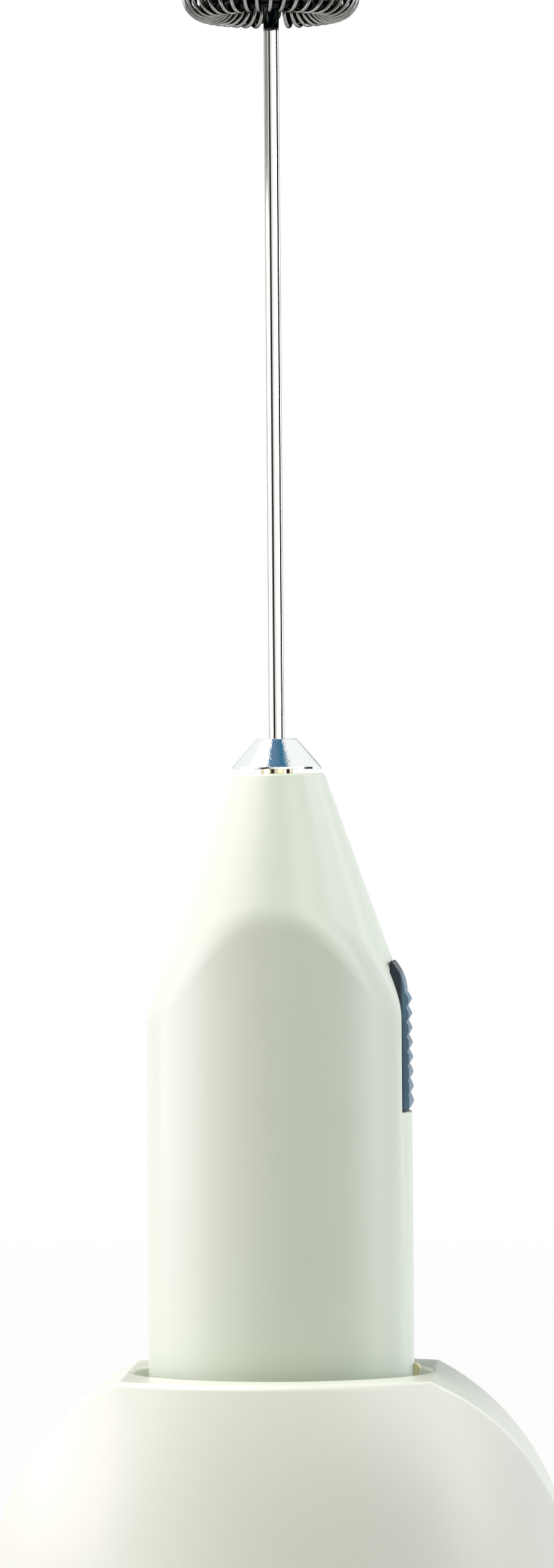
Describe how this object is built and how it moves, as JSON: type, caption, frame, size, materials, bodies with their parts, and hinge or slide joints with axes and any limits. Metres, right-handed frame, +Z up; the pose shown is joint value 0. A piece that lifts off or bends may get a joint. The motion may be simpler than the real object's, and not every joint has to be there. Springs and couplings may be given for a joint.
{
  "type": "milk frother",
  "caption": "Battery milk frother with an oval grip, slide switch and spring whisk on a long shaft, standing on its end in an arched plastic counter stand.",
  "frame": {"origin": "on the table, under the middle of the stand's base", "axes": "+Z up along the whisk shaft, +X to the switch side, -Y to the front"},
  "size_m": [0.0752, 0.0492, 0.2212],
  "materials": {
    "stand_plastic": "glossy ivory moulding",
    "body_plastic": "glossy ivory moulding",
    "cap_plastic": "glossy ivory moulding",
    "base_plastic": "fine matt ivory moulding",
    "switch_plastic": "satin blue-grey moulding",
    "chassis_plastic": "matt black moulding",
    "nylon": "natural nylon",
    "motor_plastic": "white moulding",
    "foot_rubber": "matt black rubber",
    "splash_aluminium": "turned, satin",
    "shaft_steel": "ground and polished stainless steel",
    "coil_steel": "drawn stainless spring wire",
    "coupling_brass": "turned brass",
    "can_steel": "zinc plated drawn steel",
    "core_steel": "stacked laminations",
    "magnet_ferrite": "sintered ferrite",
    "bearing_bronze": "sintered bronze",
    "winding_copper": "enamelled copper wire",
    "contact_metal": "nickel plated spring strip",
    "brush_metal": "carbon on a spring arm",
    "cell_sleeve": null
  },
  "bodies": {
    "stand": {"stand_shell": "stand_plastic", "stand_base_plate": "base_plastic", "stand_feet": "foot_rubber"},
    "handle": {"body_shell": "body_plastic", "nose_bush": "nylon", "chassis": "chassis_plastic", "motor_can": "can_steel", "motor_end_bell": "motor_plastic", "motor_magnets": "magnet_ferrite", "motor_bearings": "bearing_bronze", "motor_brushes": "brush_metal", "motor_terminals": "contact_metal", "switch_terminal": "contact_metal", "contact_positive": "contact_metal", "contact_negative": "contact_metal", "battery_left": "cell_sleeve", "battery_right": "cell_sleeve"},
    "whisk_drive": {"rotor_shaft": "shaft_steel", "rotor_core": "core_steel", "rotor_windings": "winding_copper", "commutator_sleeve": "nylon", "commutator_segments": "winding_copper", "drive_coupling": "coupling_brass", "splash_cone": "splash_aluminium", "whisk_shaft": "shaft_steel", "whisk_coil": "coil_steel"},
    "switch": {"switch_button": "switch_plastic", "switch_contact": "contact_metal"},
    "cap": {"end_cap": "cap_plastic", "bridge_contact": "contact_metal"}
  },
  "joints": [
    {"name": "handle_lift", "type": "slide", "parent": "stand", "child": "handle", "axis": [0, 0, 1], "range_m": [0, 0.04]},
    {"name": "whisk_spin", "type": "hinge", "parent": "handle", "child": "whisk_drive", "pos_m": [0, 0, 0.12], "axis": [0, 0, 1], "continuous": true},
    {"name": "switch_slide", "type": "slide", "parent": "handle", "child": "switch", "axis": [0, 0, 1], "range_m": [0, 0.002]},
    {"name": "cap_pull", "type": "slide", "parent": "handle", "child": "cap", "axis": [0, 0, -1], "range_m": [0, 0.008]}
  ]
}
